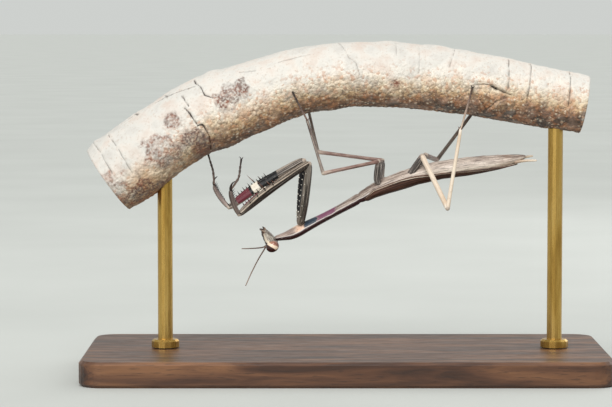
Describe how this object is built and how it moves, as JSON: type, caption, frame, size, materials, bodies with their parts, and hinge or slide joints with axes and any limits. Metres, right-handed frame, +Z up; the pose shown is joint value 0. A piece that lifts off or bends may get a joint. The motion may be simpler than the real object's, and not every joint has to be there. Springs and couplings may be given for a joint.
{
  "type": "praying mantis hanging from a perch on a stand",
  "caption": "Life-size brown praying mantis hanging upside down by its walking legs from a curved branch, raptorial forelegs folded, on a plain two-rod display stand.",
  "frame": {"origin": "centre of the stand's underside, on the floor", "axes": "+X along the branch towards the mantis's tail, +Z up, the mantis's right side towards -Y"},
  "size_m": [0.104, 0.046, 0.0662],
  "materials": {
    "head": "satin, cream cheeks on brown",
    "mouthparts": "satin",
    "eye": "glossy dark maroon",
    "feeler": "satin",
    "body_brown": "satin, dark back and grey-pink belly side",
    "body_grey": "satin grey-tan with small spots",
    "wing": "satin, veined",
    "foreleg": "satin, streaked, with dark and cream patches",
    "walking_leg": "satin, pinkish brown to cream",
    "foot": "satin dark brown",
    "bark": "rough weathered bark",
    "stand_wood": "satin varnish",
    "stand_brass": "polished"
  },
  "bodies": {
    "root": {"head": "head", "mouthparts": "mouthparts", "eye_left": "eye", "eye_right": "eye", "antenna_left": "feeler", "antenna_right": "feeler", "prothorax": "body_brown", "pterothorax": "body_grey", "abdomen": "body_grey", "tegmen_left": "wing", "tegmen_right": "wing", "cercus_left": "body_grey", "cercus_right": "body_grey", "foreleg_left_coxa": "foreleg", "foreleg_left_femur": "foreleg", "foreleg_left_tibia": "foreleg", "foreleg_left_tarsus": "foot", "foreleg_right_coxa": "foreleg", "foreleg_right_femur": "foreleg", "foreleg_right_tibia": "foreleg", "foreleg_right_tarsus": "foot", "midleg_left_coxa": "walking_leg", "midleg_left_femur": "walking_leg", "midleg_left_tibia": "walking_leg", "midleg_left_tarsus": "foot", "midleg_right_coxa": "walking_leg", "midleg_right_femur": "walking_leg", "midleg_right_tibia": "walking_leg", "midleg_right_tarsus": "foot", "hindleg_left_coxa": "walking_leg", "hindleg_left_femur": "walking_leg", "hindleg_left_tibia": "walking_leg", "hindleg_left_tarsus": "foot", "hindleg_right_coxa": "walking_leg", "hindleg_right_femur": "walking_leg", "hindleg_right_tibia": "walking_leg", "hindleg_right_tarsus": "foot", "branch": "bark", "stand_base": "stand_wood", "stand_rod_left": "stand_brass", "stand_rod_right": "stand_brass"}
  },
  "joints": []
}
